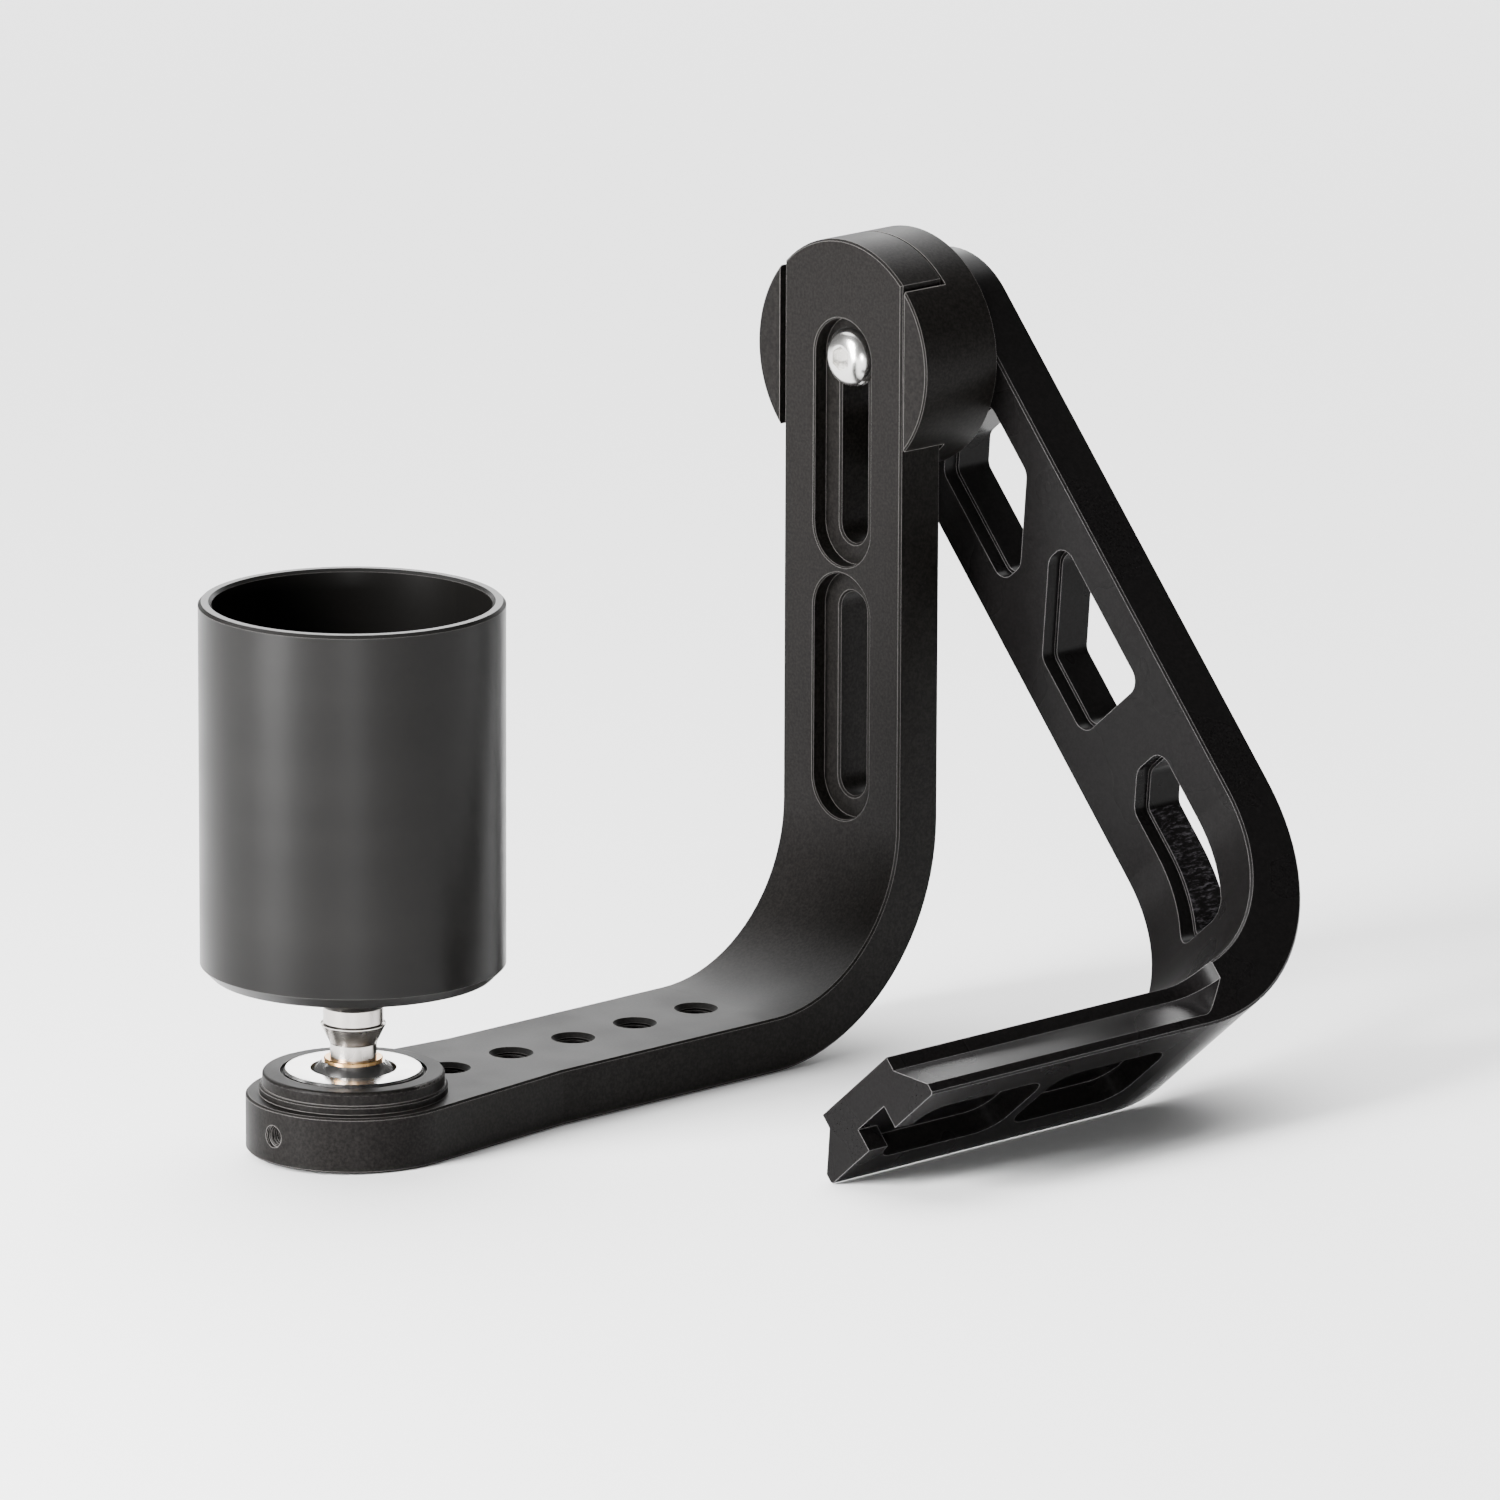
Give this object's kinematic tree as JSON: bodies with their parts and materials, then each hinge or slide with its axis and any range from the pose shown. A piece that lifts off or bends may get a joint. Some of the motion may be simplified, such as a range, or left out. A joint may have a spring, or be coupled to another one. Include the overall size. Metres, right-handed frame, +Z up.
{
  "type": "two arm swivel mount",
  "caption": "Slotted L arm with a cup on a self-aligning swivel bearing, clamped to a hub on which a second L arm with a dovetail foot turns.",
  "frame": {"origin": "on the underside of the cup arm's foot, at the middle one of its five threaded holes", "axes": "+X along the foot from the cup towards the upright and along the swivel axis, +Z up along the upright and the cup's axis, +Y to the left when looking along +X"},
  "size_m": [0.2249, 0.1691, 0.1844],
  "materials": {
    "black_anodised": "bead-blasted, black anodised, satin",
    "polished_steel": "polished stainless steel",
    "turned_steel": "fine turned",
    "black_steel": "black oxide",
    "bronze": "plain bearing bronze",
    "liner": "woven low-friction liner",
    "chrome_balls": "bearing balls, mirror polished"
  },
  "bodies": {
    "cup_arm_body": {"cup_arm": "black_anodised", "bearing_race": "polished_steel", "race_set_screw": "black_steel"},
    "liner_body": {"bearing_liner": "liner"},
    "ball_body": {"bearing_ball": "polished_steel", "stud_bush": "bronze"},
    "cup_body": {"stud": "polished_steel", "stud_retainer": "black_steel", "cup": "black_anodised", "cup_washer": "polished_steel", "cup_screw": "polished_steel"},
    "hub_body": {"hub": "black_anodised", "axle": "turned_steel", "axle_flange_screws": "black_steel", "clamp_screw": "polished_steel", "front_spacer": "turned_steel", "middle_spacer": "turned_steel", "bearing_inner_rings": "polished_steel", "axle_end_washer": "polished_steel", "axle_end_screw": "polished_steel"},
    "axle_balls_body": {"axle_balls": "chrome_balls", "axle_cages": "bronze"},
    "dovetail_body": {"dovetail_arm": "black_anodised", "bearing_outer_rings": "polished_steel", "bearing_shields": "turned_steel"}
  },
  "joints": [
    {"name": "height_slide", "type": "slide", "parent": "cup_arm_body", "child": "hub_body", "axis": [0, 0, 1], "range_m": [-0.0394, 0]},
    {"name": "hub_swing", "type": "hinge", "parent": "hub_body", "child": "dovetail_body", "pos_m": [0.107, 0, 0.157], "axis": [1, 0, 0], "continuous": true},
    {"name": "bearing_orbit", "type": "hinge", "parent": "hub_body", "child": "axle_balls_body", "pos_m": [0.107, 0, 0.157], "axis": [1, 0, 0], "continuous": true},
    {"name": "cup_tilt_x", "type": "hinge", "parent": "cup_arm_body", "child": "liner_body", "pos_m": [-0.0667, 0, 0.0111], "axis": [1, 0, 0], "range_deg": [-15, 15]},
    {"name": "cup_tilt_y", "type": "hinge", "parent": "liner_body", "child": "ball_body", "pos_m": [-0.0667, 0, 0.0111], "axis": [0, 1, 0], "range_deg": [-15, 15]},
    {"name": "cup_spin", "type": "hinge", "parent": "ball_body", "child": "cup_body", "pos_m": [-0.0667, 0, 0.0111], "axis": [0, 0, 1], "continuous": true}
  ],
  "couplings": [
    {"joint": "bearing_orbit", "follows": "hub_swing", "ratio": 0.56154}
  ]
}
